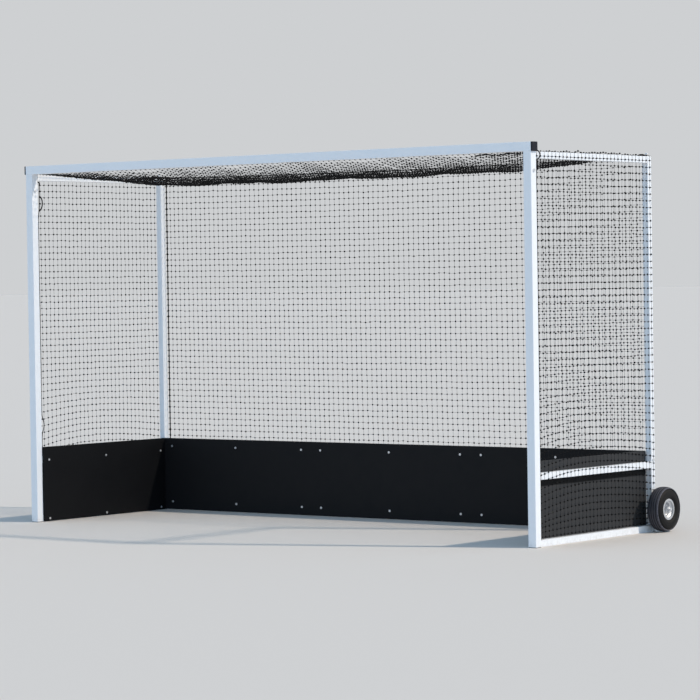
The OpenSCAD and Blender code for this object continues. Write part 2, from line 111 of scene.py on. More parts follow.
class GoalSizes(bpy.types.PropertyGroup):
    back_mesh_x: length("Back mesh across", "Knot spacing of the back net along the goal", 0.0376)
    back_mesh_z: length("Back mesh down", "Knot spacing of the back net downwards", 0.0361)
    side_mesh_y: length("Side mesh across", "Knot spacing of the side nets from front to back",
                        0.0364)
    side_mesh_z: length("Side mesh down", "Knot spacing of the side nets downwards", 0.0378)
    twine: length("Twine", "Diameter of the net's twine", 0.0014)
    knot: length("Knot", "Width of a knot in the net", 0.011)
    lashing: length("Lashing", "Width of the lashings that tie a net to its rear border rope",
                    0.016)
    rope_tuck: length("Rope tuck",
                      "How far a front border rope stands in front of its net's first knots", 0.015)
    top_mesh_y: length("Top mesh", "Spacing of the slack top net's rows from front to back", 0.028)
    seam: length("Seam", "From the seam at an edge of the frame to the first knots beside it",
                 0.019)
    top_sag: length("Top sag", "How far the middle of the top net hangs below the rails", 0.078)
    rope_sag: length("Rope sag", "How far the rope between the rear posts hangs in its middle",
                     0.014)
    side_droop: length("Side droop", "How far the side nets' rows hang down at their lower corners",
                       0.046)
    rope_y_left: length("Left net", "First knots of the left net behind the goal line", 0.112)
    rope_y_right: length("Right net", "First knots of the right net behind the goal line", 0.072)
    loop: length("Rope loop",
                 "How far the slack loop of cord stands out beside the left border rope", 0.025)
    rope_lay: length("Rope lay", "Length in which a strand goes once round its rope", 0.022)
    weld: length("Weld bead", "Width of the welds between the tubes", 0.006)


class GoalColours(bpy.types.PropertyGroup):
    coating: colour("Powder coat", "White coating of the tubes", "#F3F5F8")
    soil: colour("Soil", "Dust and turf marks close to the ground", "#8C8873")
    board: colour("Board", "Black polyethylene boards", "#0B0D11")
    # Painted sunlight: a lighter grey for the boards' outer faces, where the sun falls on them
    sunlit_board: colour("Sunlit board", "The same boards outside, turned grey by the sun", "#393A3C")
    scuff: colour("Scuff", "Worn, paler polyethylene", "#1B1D21")
    twine: colour("Twine", "Black net twine", "#0B0C0F")
    rope: colour("Rope", "Black border rope", "#0C0D10")
    plastic: colour("Plugs", "Black moulded caps, feet and clips", "#161A26")
    rubber: colour("Tyre", "Black tyre rubber", "#0E0F12")
    # Partly wear and partly a painted highlight: the grey of the tread's crown and shoulders
    tread: colour("Tread", "Shoulders and rib tops of the tyre, worn grey", "#6A6A74")
    dust: colour("Tyre dust", "Dried dust on the rubber", "#2B2C31")
    zinc: colour("Zinc", "Zinc plated steel", "#E4E6E9")
    rim: colour("Rim", "Zinc plated rim, dulled outdoors", "#D6D9DD")
    steel: colour("Steel", "Ground bearing steel", "#AEB1B5")
    aluminium: colour("Aluminium", "Bare mill finish aluminium", "#C6C8CA")
    floor: colour("Floor", "Plain pale floor", "#E1DAD3")
    backdrop: colour("Backdrop", "Plain pale background", "#CED0D2")


def sizes():
    return bpy.context.scene.goal_sizes


def colours():
    return bpy.context.scene.goal_colours


# Materials

# Kinds of nodes. A colour mix has its two colours at inputs 6 and 7 and its result at output 2.
MATH = "ShaderNodeMath"
VECTOR = "ShaderNodeVectorMath"
SPLIT = "ShaderNodeSeparateXYZ"
RANGE = "ShaderNodeMapRange"
NOISE = "ShaderNodeTexNoise"
MIX = "ShaderNodeMix"
COLOUR_MIX = {"data_type": "RGBA"}
MIXED = 2

# Real widths of the patterns that finishes share
CLOUD_W = 0.09  # clouds in the colour and the gloss
SCUFF_W = 0.03  # scuffs on boards and tyres
CLOD_W = 0.02  # dust and turf marks
SHOULDER_PATCH_W = 0.012  # patches of grey on a tyre's shoulders, partly wear and partly painted highlight

# Where a pattern's noise starts to show and where it shows in full, and how far it then covers
SCUFFS = {"From_Min": 0.644, "From_Max": 0.784, "To_Max": 0.8}
CLODS = {"From_Min": 0.42, "From_Max": 0.7, "To_Max": 0.3}
SHOULDER_PATCHES = {"From_Min": 0.35, "From_Max": 0.6, "To_Min": 0.35}
CLOUDS = {"From_Min": 0.25, "From_Max": 0.75}
GLOSS_SWING = 0.07

# A face is outside where it turns away from a point this far in front of the mouth, on the ground
BEFORE_MOUTH = 0.1
# Share of the painted sunlight's lighter grey that the back boards show all over
BACK_TRACE = 0.13
# Share of the grey that a tyre's crown shows, and half the width between its shoulders' edges
CROWN_SHARE = 0.4
SHOULDER = 30.5 * MM


def add(tree, kind, settings=None, **inputs):
    """Adds one node, sets its properties and sets or links its inputs.

    An input is named with _ for a space, or i and its number where its name isn't the only one.
    """
    made = tree.nodes.new(kind)
    for name, value in (settings or {}).items():
        setattr(made, name, value)
    for name, value in inputs.items():
        numbered = name[0] == "i" and name[1:].isdigit()
        plug = made.inputs[int(name[1:]) if numbered else name.replace("_", " ")]
        if isinstance(value, bpy.types.NodeSocket):
            tree.links.new(value, plug)
        else:
            plain = plug.type == "RGBA" and len(value) == 3
            plug.default_value = (*value, 1.0) if plain else value
    return made


def board_sun_and_shade(tree, place):
    """How much painted sunlight a board shows: 1 on the outside of the goal, with a trace on the
    back boards.

    It is 0 inside, and 0 in a band of painted shadow where the middle rails keep the sun off.
    """
    normal = add(tree, "ShaderNodeNewGeometry").outputs["True Normal"]
    from_mouth = add(tree, VECTOR, {"operation": "ADD"}, i0=place,
                     i1=(0.0, BEFORE_MOUTH - FRONT_Y, 0.0)).outputs[0]
    away = add(tree, VECTOR, {"operation": "DOT_PRODUCT"}, i0=normal, i1=from_mouth)
    away = add(tree, MATH, {"operation": "GREATER_THAN"}, i0=away.outputs["Value"], i1=0.0)
    split = add(tree, SPLIT, Vector=place).outputs
    # Painted shadow: the band under each middle rail, where the boards keep their dark colour
    shade_z = low("mid_rail_right").z - RAIL_W
    below = add(tree, RANGE, Value=split["Z"], From_Min=shade_z - 4 * MM,
                From_Max=shade_z + 3 * MM, To_Min=1.0, To_Max=0.0).outputs[0]
    above = add(tree, MATH, {"operation": "GREATER_THAN"}, i0=split["Z"],
                i1=shade_z + 1.5 * RAIL_W).outputs[0]
    aside = add(tree, MATH, {"operation": "ABSOLUTE"}, i0=split["X"]).outputs[0]
    back = add(tree, MATH, {"operation": "LESS_THAN"}, i0=aside,
               i1=low("side_board_right").x).outputs[0]
    outside_rail_shade = below
    for other in (above, back):
        outside_rail_shade = add(tree, MATH, {"operation": "MAXIMUM"}, i0=outside_rail_shade, i1=other).outputs[0]
    sunned = add(tree, MATH, {"operation": "MULTIPLY"}, i0=away.outputs[0], i1=outside_rail_shade)
    trace = add(tree, MATH, {"operation": "MULTIPLY"}, i0=back, i1=BACK_TRACE)
    return add(tree, MATH, {"operation": "MAXIMUM"}, i0=sunned.outputs[0],
               i1=trace.outputs[0]).outputs[0]


def tread_wear_and_highlight(tree, place):
    """How grey a tyre's tread shows, partly worn and partly a painted highlight: CROWN_SHARE on
    its crown and up to 1 in patches on its shoulders.

    It is 0 in the grooves and on the walls.
    """
    centre, radius, _ = wheel_middle("right")
    from_axle = add(tree, VECTOR, {"operation": "SUBTRACT"}, i0=place,
                    i1=(0.0, centre.y, centre.z)).outputs[0]
    in_plane = add(tree, VECTOR, {"operation": "MULTIPLY"}, i0=from_axle,
                   i1=(0.0, 1.0, 1.0)).outputs[0]
    reach = add(tree, VECTOR, {"operation": "LENGTH"}, i0=in_plane).outputs["Value"]
    x = add(tree, SPLIT, Vector=place).outputs["X"]
    aside = add(tree, MATH, {"operation": "ABSOLUTE"}, i0=x).outputs[0]
    across = add(tree, MATH, {"operation": "SUBTRACT"}, i0=aside, i1=centre.x).outputs[0]
    square = add(tree, MATH, {"operation": "MULTIPLY"}, i0=across, i1=across).outputs[0]
    # The reach that a place would have on the middle of the crown
    level = add(tree, MATH, {"operation": "MULTIPLY_ADD"}, i0=square, i1=0.5 / TREAD_BOW,
                i2=reach).outputs[0]
    crown = add(tree, RANGE, Value=level, From_Min=radius - 2.2 * MM, From_Max=radius - 1 * MM,
                To_Max=CROWN_SHARE).outputs[0]
    out = add(tree, MATH, {"operation": "ABSOLUTE"}, i0=across).outputs[0]
    edge = add(tree, RANGE, Value=out, From_Min=SHOULDER, From_Max=SHOULDER + 2 * MM).outputs[0]
    high_up = add(tree, RANGE, Value=reach, From_Min=radius - 12 * MM,
                  From_Max=radius - 9 * MM).outputs[0]
    shoulder_noise = add(tree, NOISE, Vector=place, Scale=1 / SHOULDER_PATCH_W, Detail=4.0, Roughness=0.7)
    patches = add(tree, RANGE, Value=shoulder_noise.outputs["Fac"], **SHOULDER_PATCHES).outputs[0]
    shoulder = add(tree, MATH, {"operation": "MULTIPLY"}, i0=edge, i1=high_up).outputs[0]
    shoulder = add(tree, MATH, {"operation": "MULTIPLY"}, i0=shoulder, i1=patches).outputs[0]
    return add(tree, MATH, {"operation": "MAXIMUM"}, i0=crown, i1=shoulder).outputs[0]


def surface(name, base, roughness, grain, height, mottle, metallic=0.0, specular=0.5, worn=None,
            where=None, there=None, soil_z=0.0, stretch=(1.0, 1.0, 1.0)):
    """A finish with mottled colour, uneven gloss and a grain of the given real width and height.

    worn is the colour of its scuffs, there its colour on the faces that the function where picks
    out, soil_z how high dust and turf marks reach, and stretch the pattern's scale along X, Y, Z.
    """
    material = bpy.data.materials.new(name)
    material.use_nodes = True
    tree = material.node_tree
    tree.nodes.clear()
    place = add(tree, "ShaderNodeTexCoord").outputs["Object"]
    stretched = add(tree, "ShaderNodeMapping", Vector=place, Scale=stretch).outputs["Vector"]
    cloud = add(tree, NOISE, Vector=place, Scale=1 / CLOUD_W, Detail=5.0,
                Roughness=0.6).outputs["Fac"]
    darker = tuple(c * (1 - mottle) for c in base)
    lighter = tuple(min(1.0, c * (1 + mottle)) for c in base)
    tone = add(tree, MIX, COLOUR_MIX, Factor=cloud, i6=darker, i7=lighter).outputs[MIXED]
    if where:
        tone = add(tree, MIX, COLOUR_MIX, Factor=where(tree, place), i6=tone,
                   i7=there).outputs[MIXED]
    if worn:
        marks = add(tree, NOISE, Vector=stretched, Scale=1 / SCUFF_W, Detail=8.0, Roughness=0.75)
        spots = add(tree, RANGE, Value=marks.outputs["Fac"], **SCUFFS).outputs["Result"]
        tone = add(tree, MIX, COLOUR_MIX, Factor=spots, i6=tone, i7=worn).outputs[MIXED]
    if soil_z:
        up = add(tree, SPLIT, Vector=place).outputs["Z"]
        fade = add(tree, RANGE, Value=up, From_Min=0.0, From_Max=soil_z, To_Min=1.0, To_Max=0.0)
        clod = add(tree, NOISE, Vector=place, Scale=1 / CLOD_W, Detail=6.0, Roughness=0.7)
        clods = add(tree, RANGE, Value=clod.outputs["Fac"], **CLODS)
        both = add(tree, MATH, {"operation": "MULTIPLY"}, i0=fade.outputs["Result"],
                   i1=clods.outputs["Result"]).outputs["Value"]
        tone = add(tree, MIX, COLOUR_MIX, Factor=both, i6=tone,
                   i7=tuple(colours().soil)).outputs[MIXED]
    gloss = add(tree, RANGE, Value=cloud, **CLOUDS, To_Min=roughness - GLOSS_SWING,
                To_Max=roughness + GLOSS_SWING)
    fine = add(tree, NOISE, Vector=stretched, Scale=1 / grain, Detail=3.0, Roughness=0.55)
    bump = add(tree, "ShaderNodeBump", Height=fine.outputs["Fac"], Strength=1.0, Distance=height)
    shader = add(tree, "ShaderNodeBsdfPrincipled", Base_Color=tone,
                 Roughness=gloss.outputs["Result"], Normal=bump.outputs["Normal"],
                 Metallic=metallic)
    if not metallic:
        shader.inputs["Specular IOR Level"].default_value = specular
    add(tree, "ShaderNodeOutputMaterial", Surface=shader.outputs["BSDF"])
    return material


def finishes():
    """The settings of surface for every slot of the record."""
    c = colours()
    return {
        # Polyester powder on extruded tube: an orange peel of about 2 mm and a satin shine,
        # soiled near the turf
        "frame_coating": dict(
            name="Powder coated aluminium", base=c.coating, roughness=0.38, grain=2 * MM,
            height=0.02 * MM, mottle=0.02, soil_z=0.05),
        # Polyethylene sheet: a fine leathery haircell and a dull sheen, scuffed along its length
        # by balls and sticks, with painted sunlight in a lighter grey outside and painted shadow
        # under the middle rails
        "board_plastic": dict(
            name="Haircell polyethylene sheet", base=c.board, roughness=0.6, grain=1.2 * MM,
            height=0.05 * MM, mottle=0.12, specular=0.15, worn=c.scuff, where=board_sun_and_shade,
            there=tuple(c.sunlit_board), stretch=(0.25, 0.25, 1.0)),
        # Injection moulded polyethylene: even and satin with a faint spark texture
        "black_plastic": dict(
            name="Moulded black polyethylene", base=c.plastic, roughness=0.5, grain=0.8 * MM,
            height=0.02 * MM, mottle=0.1, specular=0.25),
        "white_plastic": dict(
            name="Moulded white polyethylene", base=c.coating, roughness=0.5, grain=0.8 * MM,
            height=0.02 * MM, mottle=0.03),
        # Polyester powder on bent bar: the tubes' satin white, clean at this height
        "white_hook": dict(
            name="Powder coated round bar", base=c.coating, roughness=0.4, grain=2 * MM,
            height=0.02 * MM, mottle=0.03),
        # Braided polyethylene twine: matt, with the braid's crossings drawn at 1 mm
        "net_twine": dict(
            name="Braided polyethylene twine", base=c.twine, roughness=0.8, grain=1.0 * MM,
            height=0.25 * MM, mottle=0.25, specular=0.2),
        # Laid polypropylene rope: a dull black with the fibres of its strands drawn at 0.7 mm
        "border_rope": dict(
            name="Laid polypropylene rope", base=c.rope, roughness=0.75, grain=0.7 * MM,
            height=0.2 * MM, mottle=0.25, specular=0.25),
        # Vulcanised rubber: dark with dried dust that lies in patches, and grey on the tread's
        # crown and shoulders, partly wear and partly a painted highlight
        "tyre_rubber": dict(
            name="Vulcanised tyre rubber", base=c.rubber, roughness=0.62, grain=1.5 * MM,
            height=0.06 * MM, mottle=0.2, specular=0.25, worn=c.dust, where=tread_wear_and_highlight,
            there=tuple(c.tread)),
        # Zinc plated pressed steel: partly clouded white by the weather, with fine die marks
        "rim_steel": dict(
            name="Weathered zinc plated steel", base=c.rim, roughness=0.45, metallic=0.8,
            grain=3 * MM, height=0.03 * MM, mottle=0.08),
        # Zinc plated small parts: bright but matt, as the plating breaks up the mirror image
        "zinc_fasteners": dict(
            name="Matt zinc plated steel", base=c.zinc, roughness=0.4, metallic=0.7,
            grain=1 * MM, height=0.01 * MM, mottle=0.05),
        # Ground steel: a fairly clear, slightly dark mirror
        "bearing_steel": dict(
            name="Ground bearing steel", base=c.steel, roughness=0.3, metallic=1.0,
            grain=0.8 * MM, height=0.005 * MM, mottle=0.05),
        # Extruded and left bare: a soft mirror with die lines that run upright
        "bare_aluminium": dict(
            name="Mill finish aluminium", base=c.aluminium, roughness=0.36, metallic=1.0,
            grain=1 * MM, height=0.01 * MM, mottle=0.05, stretch=(1.0, 1.0, 0.05)),
    }


FINISH_NAMES = {}


def finish_of(slot):
    """The material for a slot of the record, made the first time that it is asked for."""
    held = bpy.data.materials.get(FINISH_NAMES.get(slot, ""))
    if held is None:
        held = surface(**finishes()[slot])
        FINISH_NAMES[slot] = held.name
    return held


# Meshes

# The least and the most that a knot is stretched, and how far it is turned, in radians
KNOT_STRETCH = (0.8, 1.15)
KNOT_TURN = 0.6
# A direction that no rope of the goal runs along
ASKEW = (0.31, 0.37, 0.23)
# A strand's hollow and its crest, as shares of the rope's radius
STRAND_HOLLOW, STRAND_CREST = 0.86, 0.14
# How far a rope's end bulges, as a share of its radius
TIP = 0.4


def shaped(name, points, faces, slot):
    """A smooth mesh object from lists of points and faces, in the finish of its slot."""
    mesh = bpy.data.meshes.new(name)
    mesh.from_pydata(points, [], faces)
    mesh.validate()
    mesh.update()
    mesh.polygons.foreach_set("use_smooth", [True] * len(mesh.polygons))
    made = bpy.data.objects.new(name, mesh)
    bpy.context.scene.collection.objects.link(made)
    made.data.materials.append(finish_of(slot))
    return made


def piece(name, points, faces, slot, body):
    """A mesh piece of the object, in its finish, riding on its body."""
    listed = faces if isinstance(faces, list) else faces.tolist()
    made = shaped(name, points.tolist(), listed, slot)
    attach(made, body)
    return made


def unit(vectors):
    return vectors / np.linalg.norm(vectors, axis=-1, keepdims=True)


def ring_quads(count):
    """The quads between a ring of count points and the next one, which follows it in the list."""
    k = np.arange(count)
    return np.stack([k, (k + 1) % count, (k + 1) % count + count, k + count], axis=1)


def spans(starts, ends, radius, corners=3):
    """Straight tubes of a few sides from each start to its end: (points, quads)."""
    along = unit(ends - starts)
    helper = np.where(np.abs(along[:, 2:3]) < 0.8, [[0.0, 0.0, 1.0]], [[0.0, 1.0, 0.0]])
    across = unit(np.cross(along, helper))
    up = np.cross(across, along)
    turns = np.arange(corners) * 2 * math.pi / corners + math.pi / corners
    ring = radius * (np.cos(turns)[None, :, None] * across[:, None]
                     + np.sin(turns)[None, :, None] * up[:, None])
    points = np.concatenate([starts[:, None] + ring, ends[:, None] + ring], axis=1)
    firsts = np.arange(len(starts)) * 2 * corners
    faces = ring_quads(corners)[None] + firsts[:, None, None]
    return points.reshape(-1, 3), faces.reshape(-1, 4)


def icosahedron():
    """The 12 corners of a round body of radius 1 and its 20 triangles."""
    golden = (1 + math.sqrt(5)) / 2
    corners = unit(np.array([q for a in (-1, 1) for b in (-golden, golden)
                             for q in ((0, a, b), (a, b, 0), (b, 0, a))]))
    near = np.linalg.norm(corners[:, None] - corners[None], axis=-1) < 1.1
    faces = []
    for i in range(12):
        for j in range(i + 1, 12):
            for k in range(j + 1, 12):
                if near[i, j] and near[j, k] and near[i, k]:
                    normal = np.cross(corners[j] - corners[i], corners[k] - corners[i])
                    faces.append((i, j, k) if np.dot(normal, corners[i]) > 0 else (i, k, j))
    return corners, np.array(faces)


def lumps(centres, width, random):
    """Knots: small round lumps, each turned and stretched its own way: (points, triangles)."""
    corners, faces = icosahedron()
    stretch = width / 2 * random.uniform(*KNOT_STRETCH, (len(centres), 1, 3))
    angles = random.uniform(-KNOT_TURN, KNOT_TURN, (len(centres), 3))
    turn = np.array([np.array(Matrix.Rotation(a, 3, "X") @ Matrix.Rotation(b, 3, "Y")
                              @ Matrix.Rotation(c, 3, "Z")) for a, b, c in angles])
    points = np.einsum("nij,nkj->nki", turn, corners[None] * stretch) + centres[:, None]
    faces = faces[None] + (np.arange(len(centres)) * len(corners))[:, None, None]
    return points.reshape(-1, 3), faces.reshape(-1, 3)


def joined(*parts):
    """Several (points, faces) as one: (points, list of faces)."""
    points, faces, count = [], [], 0
    for p, f in parts:
        points.append(p)
        faces += (np.asarray(f) + count).tolist()
        count += len(p)
    return np.concatenate(points), faces


def knotted_net(name, points_of, node, seam_row, twine_on_seam, seed, extra):
    """A net over a grid of points, with a straight leg of twine between neighbours.

    The seam's row and the outer columns, where the net goes round an edge of the frame, have no
    knots, and no twine along them unless twine_on_seam says so for the row. extra lists
    (places, width) of further lumps, such as lashings to a border rope.
    """
    random = np.random.RandomState(seed)
    rows = points_of if twine_on_seam else np.delete(points_of, seam_row, axis=0)
    columns = points_of[:, 1:-1]
    tied = np.ones(points_of.shape[:2], bool)
    tied[seam_row] = tied[:, 0] = tied[:, -1] = False
    legs = [(rows[:, :-1], rows[:, 1:]), (columns[:-1], columns[1:])]
    tubes = [spans(a.reshape(-1, 3), b.reshape(-1, 3), sizes().twine / 2) for a, b in legs]
    balls = [lumps(points_of[tied], sizes().knot, random)]
    balls += [lumps(np.array(places), width, random) for places, width in extra]
    points, faces = joined(*tubes, *balls)
    made = piece(name, points, faces, "net_twine", "frame")
    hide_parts(node)


def between_posts(x, power):
    """1 in the middle of the goal and 0 at the posts, the later to fall the higher the power."""
    return 1 - np.clip(np.abs(x) / RAIL_IN_X, 0, 1) ** power


def evenly(start, end, pitch):
    """Places from start to end as near to pitch apart as a whole number of meshes allows."""
    return np.linspace(start, end, max(2, round(abs(end - start) / pitch) + 1))


def smooth_path(points, step):
    """A curve through the points, sampled about every step."""
    p = [Vector(q) for q in points]
    p = [p[0] * 2 - p[1], *p, p[-1] * 2 - p[-2]]
    out = []
    for a, b, c, d in zip(p, p[1:], p[2:], p[3:]):
        pieces = max(1, round((c - b).length / step))
        for i in range(pieces):
            t = i / pieces
            out.append(0.5 * (2 * b + (c - a) * t + (2 * a - 5 * b + 4 * c - d) * t * t
                              + (3 * b - a - 3 * c + d) * t ** 3))
    return out + [p[-2]]


def laid_rope(path, radius, lay, strands=3):
    """A rope of twisted strands along a path of close points: (points, quads, end triangles)."""
    count = strands * 4
    path = np.array(path, float)
    ahead = unit(np.gradient(path, axis=0))
    across = unit(np.cross(ahead, ASKEW))
    up = np.cross(ahead, across)
    run = np.concatenate([[0], np.cumsum(np.linalg.norm(np.diff(path, axis=0), axis=1))])
    turns = np.arange(count) * 2 * math.pi / count
    lobes = radius * (STRAND_HOLLOW + STRAND_CREST * np.cos(strands * turns))
    twist = turns[None, :] + (run / lay * 2 * math.pi)[:, None]
    ring = lobes[None, :, None] * (np.cos(twist)[..., None] * across[:, None]
                                   + np.sin(twist)[..., None] * up[:, None])
    points = (path[:, None] + ring).reshape(-1, 3)
    firsts = np.arange(len(path) - 1) * count
    walls = (ring_quads(count)[None] + firsts[:, None, None]).reshape(-1, 4)
    tips = np.stack([path[0] - ahead[0] * radius * TIP, path[-1] + ahead[-1] * radius * TIP])
    tip, last = len(points), (len(path) - 1) * count
    caps = [[(j + 1) % count, j, tip] for j in range(count)]
    caps += [[last + j, last + (j + 1) % count, tip + 1] for j in range(count)]
    return np.concatenate([points, tips]), walls, np.array(caps)


def rope_piece(name, runs, lay, node):
    """One rope piece from several runs, each a path of close points and its radius."""
    points, faces = [], []
    for path, radius in runs:
        p, walls, caps = laid_rope(path, radius, lay)
        start = len(points)
        points += p.tolist()
        faces += (walls + start).tolist() + (caps + start).tolist()
    made = shaped(name, points, faces, "border_rope")
    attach(made, "frame")
    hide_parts(node)


class Step(bpy.types.Operator):
    """A part of the goal's dressing"""

    bl_options = {"REGISTER", "UNDO"}


class GOAL_OT_coat(Step):
    """Gives every node of the frame that stays in view the finish of its slot"""

    bl_idname = "goal.coat"
    bl_label = "Finishes of the solid parts"

    def execute(self, context):
        for entry in frame["record"]["subparts"]:
            shown = frame["nodes"][entry["node"]]
            shown.data.materials.clear()
            shown.data.materials.append(finish_of(entry["material_slot"]))
        return {"FINISHED"}


# Length of a weld's ripple, how deep its root lies in the metal and how far it keeps inside the
# tube's outline, its swell by turns and at random, its points across and its first seed
WELD_RIPPLE = 2.4 * MM
WELD_ROOT = 0.2 * MM
WELD_INSET = 1.5 * MM
WELD_SWELLS = (0.8, 1.0)
WELD_SWING = (0.92, 1.08)
WELD_ARC = 4
WELD_SEED = 7


def weld_ring(centre, half, ahead, width, seed):
    """A rippled bead of weld round a square tube, on the face that the tube butts against.

    half is half the tube's width, and ahead points from that face along the tube.
    """
    random = np.random.RandomState(seed)
    across = UP.cross(ahead).normalized()
    around = []
    for a, b in (((-1, -1), (1, -1)), ((1, -1), (1, 1)), ((1, 1), (-1, 1)), ((-1, 1), (-1, -1))):
        count = round(2 * half / WELD_RIPPLE)
        for i in range(count):
            t = i / count
            around.append((a[0] + (b[0] - a[0]) * t, a[1] + (b[1] - a[1]) * t))
    points = []
    for i, (u, v) in enumerate(around):
        swell = WELD_SWELLS[i % 2] * random.uniform(*WELD_SWING)
        base = centre + across * u * half + UP * v * half
        out = (across * u * (abs(u) >= abs(v)) + UP * v * (abs(v) >= abs(u))).normalized()
        for k in range(WELD_ARC + 1):
            angle = math.pi / 2 * k / WELD_ARC
            reach = width * swell * (0.62 + 0.08 * math.sin(2 * angle))
            points.append(base + out * (reach * math.cos(angle) - WELD_ROOT)
                          + ahead * (reach * math.sin(angle) - WELD_ROOT))
    faces, n, wide = [], len(around), WELD_ARC + 1
    for i in range(n):
        for k in range(WELD_ARC):
            a, b = i * wide + k, (i + 1) % n * wide + k
            faces.append([a, b, b + 1, a + 1])
    return np.array(points), np.array(faces)


class GOAL_OT_welds(Step):
    """Lays the weld beads where the side rails butt against the posts"""

    bl_idname = "goal.welds"
    bl_label = "Welds"

    def execute(self, context):
        beads = []
        for side in SIDES:
            for i, rail in enumerate(("top_rail", "mid_rail", "bottom_rail")):
                lo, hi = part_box(f"{rail}_{side}")
                middle = (lo + hi) / 2
                for y, ahead in ((POST_BACK_Y, 1), (REAR_Y, -1)):
                    beads.append(weld_ring(
                        Vector((middle.x, y, middle.z)), RAIL_W / 2 - WELD_INSET,
                        Vector((0, ahead, 0)), sizes().weld, i + WELD_SEED))
        points, faces = joined(*beads)
        points[:, 2] = np.maximum(points[:, 2], 0)  # ground flat under the bottom rails
        piece("frame_welds", points, faces, "frame_coating", "frame")
        return {"FINISHED"}


# The top net: the gap between the front posts and its first row, how far it has to hang before
# it shifts in full, the size of its random shifts across and of those in height, and about how
# far its knots ride up on the side rails
TOP_GAP = 3 * MM
FREE_SAG = 12 * MM
TOP_SHIFT = 0.9 * MM
TOP_LIFT = 1.5 * MM
RIDE_UP = 6 * MM
# The back net: how far its middle bellies forward, and the size of its random shifts
BELLY = 10 * MM
BACK_SHIFT = 1.0 * MM
# The side nets: the share of the way back where a drooping row is highest and the rest of the
# way, the height under which rows droop and the height that they take to droop in full, and the
# strip over the lowest row that pulls them level again
CREST, BEHIND_CREST = 0.42, 0.58
DROOP_Z, DROOP_SPAN, DROOP_FOOT = 1.05, 0.6, 0.13
# Width of the strips at their top and bottom edge in which the random shifts fade out
SHIFT_FADE = 0.1


def jitter(shape, size, seed):
    return np.random.RandomState(seed).normal(0, size, shape)


def outside():
    """X, Y and Z of the twine's centre on the outer faces of the side, the back and the top."""
    skin = sizes().twine / 2
    return RAIL_OUT_X + skin, BACK_Y + skin, TOP_Z + skin


def shared_columns():
    """X of the columns of the top and the back net, with a seam at each end."""
    s = sizes()
    out_x, _, _ = outside()
    inner = evenly(-out_x + s.seam, out_x - s.seam, s.back_mesh_x)
    return np.concatenate([[-out_x], inner, [out_x]])


def top_net():
    """Knots the top net and returns its rear edge: its points, its sag and its way forward.

    The net is level on the rails and hangs in the middle like a membrane. Between the rear posts
    its rear edge is drawn forward to the rope there.
    """
    s = sizes()
    _, out_y, top_z = outside()
    rows_y = np.append(evenly(POST_BACK_Y + TOP_GAP, out_y - s.seam, s.top_mesh_y), out_y)
    x, y = np.meshgrid(shared_columns(), rows_y)
    share_y = (y - rows_y[0]) / (rows_y[-1] - rows_y[0])
    sag = s.top_sag * between_posts(x, 6) * (4 * share_y * (1 - share_y)) ** 0.8
    sag += s.rope_sag * share_y ** 6 * between_posts(x, 2)
    forward = (out_y - rear_rope_line()[0] - ROPE_R - s.twine / 2) * between_posts(x, 20)
    loose = np.clip(sag / FREE_SAG, 0, 1)
    waves = 4 * MM * np.sin(7.6 * x + 1.3 + 2 * y) + 3 * MM * np.sin(19 * x + 4 * y)
    top = np.stack([
        x + jitter(x.shape, TOP_SHIFT, seed=3) * loose,
        y - forward * share_y + jitter(x.shape, TOP_SHIFT, seed=4) * loose,
        top_z - sag + (waves + jitter(x.shape, TOP_LIFT, seed=5)) * loose,
    ], axis=-1)
    on_rail = (np.abs(x) > RAIL_IN_X) * (np.abs(x) < RAIL_OUT_X) * np.clip(share_y / 0.25, 0, 1)
    top[..., 2] += np.abs(jitter(x.shape, RIDE_UP, seed=15)) * on_rail
    # Spare meshes gathered at the rear posts, and bunched behind the crossbar's right end
    gathered = [(sign * (RAIL_IN_X + 22 * MM), y, TOP_Z + 6 * MM) for sign in SIDES.values()
                for y in np.linspace(REAR_Y - 50 * MM, REAR_Y - 15 * MM, 4)]
    x = np.arange(RAIL_IN_X - 0.36, RAIL_IN_X - 0.06, 9 * MM)
    z = TOP_Z - 9 * MM - 4 * MM * np.sin(36 * x) + jitter(x.shape, 1.5 * MM, seed=16)
    y = POST_BACK_Y + 12 * MM + jitter(x.shape, 2 * MM, seed=17)
    bunched = np.stack([x, y, z], axis=-1)
    knotted_net("net_top_knotted", top, "net_top", seam_row=-1, twine_on_seam=True, seed=11,
                extra=[(gathered, s.lashing), (bunched, s.knot)])
    return top[-1], sag[-1], forward[-1]


def back_net(edge, sag, forward):
    """Knots the back net, from the top net's rear edge down to the back of the rear rails."""
    s = sizes()
    _, out_y, top_z = outside()
    rows_z = np.append(top_z, evenly(top_z - s.seam, NET_LOW_Z + 2 * MM, s.back_mesh_z))
    x, z = np.meshgrid(shared_columns(), rows_z)
    fall = (z - rows_z[-1]) / (rows_z[0] - rows_z[-1])
    belly = BELLY * np.sin(math.pi * fall) * between_posts(x, 4)
    rail_z = high("rear_rail_upper").z
    belly += forward * np.clip((z - rail_z) / (top_z - rail_z), 0, 1)
    inner = (np.abs(x) < RAIL_IN_X) * 1.0
    back = np.stack([
        x + jitter(x.shape, BACK_SHIFT, seed=6) * inner,
        out_y - belly,
        z - sag * fall ** 2 + jitter(x.shape, BACK_SHIFT, seed=7),
    ], axis=-1)
    back[0] = edge
    lashed = [(sign * rear_rope_x(), rear_rope_y(), h)
              for sign in SIDES.values() for h in rows_z[2:-1]]
    knotted_net("net_back_knotted", back, "net_back", seam_row=0, twine_on_seam=False, seed=12,
                extra=[(lashed, s.lashing)])


